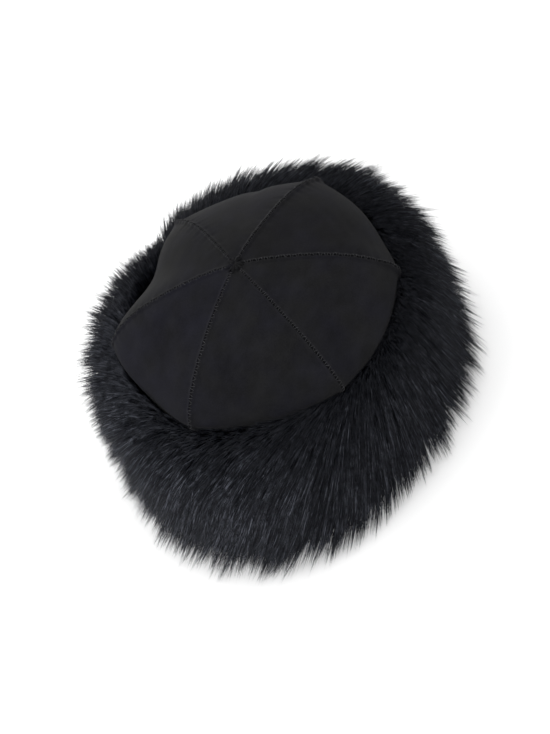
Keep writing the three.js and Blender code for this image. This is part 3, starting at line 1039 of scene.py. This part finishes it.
def clear_of_crown(lines):
    """Hairs moved out of the crown's wall and off the floor."""
    lines[..., 2] = np.maximum(lines[..., 2], FLOOR_CLEARANCE)
    flat = lines - AXIS
    azimuth = np.degrees(np.arctan2(flat[..., 1], flat[..., 0]))
    reach = np.hypot(flat[..., 0], flat[..., 1])
    least = crown_reach(azimuth, lines[..., 2]) + HAIR_CLEARANCE
    push = np.maximum(least / reach, 1)
    lines[..., :2] = AXIS[:2] + flat[..., :2] * push[..., None]
    return lines


def hair_lines(arc, rng):
    """The centre lines and tones of one arc's hairs, which root apart and gather towards their tips."""
    azimuth, down = (shared(place, TUFT_HAIRS) for place in tuft_field(arc, rng))
    count = len(azimuth)
    loose = rng.random(count) < LOOSE_SHARE
    in_tuft = shared(rng.normal(0, TUFT_SPREAD, (2, count // WISP_HAIRS)), WISP_HAIRS)
    in_wisp = rng.normal(0, np.where(loose, TUFT_SPREAD, WISP_SPREAD), (2, count))
    brow = BROW_SHARE * np.exp(-(((down - BROW_DOWN) / BROW_WIDTH) ** 2))
    edge = np.maximum(ease(EDGE_FROM, 1, down), brow)
    gather = TUFT_GATHER + (EDGE_GATHER - TUFT_GATHER) * edge
    gathered = in_tuft * (1 - gather) + in_wisp * (1 - np.where(loose, LOOSE_GATHER, WISP_GATHER))

    ragged = loop_through(RAGGED, azimuth)
    length = hair_lengths(azimuth, down, edge, ragged, rng)
    sway, lift = hair_asides(azimuth, down, loose, ragged, rng)
    trimmed = np.exp(-(((azimuth - TRIMMED_AZIMUTH) / TRIMMED_WIDTH) ** 2))
    moved = (gathered[0] + sway, gathered[1] + lift)
    root = hair_ends("root", azimuth, down, in_tuft + in_wisp, -ROOT_DEPTH)
    tip = hair_ends("tip", azimuth, down, moved, TIP_BEYOND * (1 - trimmed))
    tip = root + (tip - root) * length[:, None]
    bend = (root + tip) / 2 + rng.normal(0, HAIR_BEND, (count, 3)) + (0, 0, HAIR_ARCH)
    t = (np.linspace(0, 1, HAIR_STATIONS) ** STATION_POWER)[:, None]
    lines = root[:, None] * (1 - t) ** 2 + bend[:, None] * 2 * t * (1 - t) + tip[:, None] * t**2
    return clear_of_crown(lines), hair_tones(azimuth, down, rng)


def fur_arc(arc, finish):
    """The hairs of one arc of the cuff as one mesh."""
    rng = np.random.default_rng(FUR_SEED + arc)
    lines, tone = hair_lines(arc, rng)
    wider = rng.uniform(*HAIR_RADIUS_SPREAD, len(lines)) + GLINT_WIDER * tone
    radii = np.append(HAIR_RADII, 0.0) * wider[:, None]
    across = rng.normal(0, 1, (len(lines), 3))
    name = f"cuff_fur_{arc + 1}"
    mesh = joined_tubes(name, lines, across, radii, HAIR_SIDES, True, tone)
    return show(mesh, name, finish)


def add_camera():
    """A long lens at the picture's angle, aimed so that the apex falls on its pixel."""
    a, e = math.radians(VIEW_AZIMUTH), math.radians(VIEW_ELEVATION)
    back = Vector((math.sin(a) * math.cos(e), -math.cos(a) * math.cos(e), math.sin(e)))
    level = Vector((math.cos(a), math.sin(a), 0))
    rising = back.cross(level)
    tilt = math.radians(UPRIGHT_TILT)
    right = level * math.sin(tilt) + rising * math.cos(tilt)
    upper = rising * math.sin(tilt) - level * math.cos(tilt)
    aim = Vector(AXIS) + Vector((0, 0, HAT_HEIGHT))
    aim += right * (MIDDLE_PIXEL[0] - APEX_PIXEL[0]) * PIXEL
    aim -= upper * (MIDDLE_PIXEL[1] - APEX_PIXEL[1]) * PIXEL
    distance = FRAME_HEIGHT_PIXELS * PIXEL * LENS / SENSOR
    data = bpy.data.cameras.new("studio_camera")
    data.lens = LENS
    data.sensor_width = SENSOR
    data.clip_end = FAR_CLIP
    camera = bpy.data.objects.new("studio_camera", data)
    turned = Matrix((right, upper, back)).transposed().to_4x4()
    camera.matrix_world = Matrix.Translation(aim + back * distance) @ turned
    bpy.context.scene.collection.objects.link(camera)
    bpy.context.scene.camera = camera


def add_floor():
    """The pale floor that the hat stands on."""
    bm = bmesh.new()
    bmesh.ops.create_grid(bm, x_segments=1, y_segments=1, size=FLOOR_HALF)
    floor = bpy.data.objects.new("studio_floor", as_mesh(bm, "studio_floor"))
    floor.data.materials.append(floor_finish())
    bpy.context.scene.collection.objects.link(floor)


# Soft boxes: where each stands, its size in metres and its power in watts
SoftBox = namedtuple("SoftBox", "name place size power")
SOFT_BOXES = (
    SoftBox("soft_box_front", (-1.0, -2.1, 1.9), 1.8, 21),
    SoftBox("soft_box_left", (-2.4, 0.8, 1.9), 1.6, 5.0),
)


def add_lights():
    """A white room and soft boxes that face the hat."""
    world = bpy.data.worlds.new("white_room")
    world.use_nodes = True
    background = world.node_tree.nodes["Background"]
    background.inputs["Color"].default_value = (1, 1, 1, 1)
    background.inputs["Strength"].default_value = ROOM_BRIGHTNESS
    bpy.context.scene.world = world
    bpy.context.scene.view_settings.view_transform = "Standard"
    for box in SOFT_BOXES:
        data = bpy.data.lights.new(box.name, "AREA")
        data.size = box.size
        data.energy = box.power
        light = bpy.data.objects.new(box.name, data)
        light.location = box.place
        aim = Vector((0, 0, LIT_HEIGHT)) - light.location
        light.rotation_euler = aim.to_track_quat("-Z", "Y").to_euler()
        bpy.context.scene.collection.objects.link(light)


def build_hat():
    """All the pieces of the hat."""
    thread = thread_finish()
    for gore in range(len(GORES)):
        gore_piece(gore)
        seam_stitches(gore, thread)
    ground_piece()
    hair = hair_finish()
    for arc in range(ARCS):
        fur_arc(arc, hair)


add_camera()
add_floor()
add_lights()
build_hat()
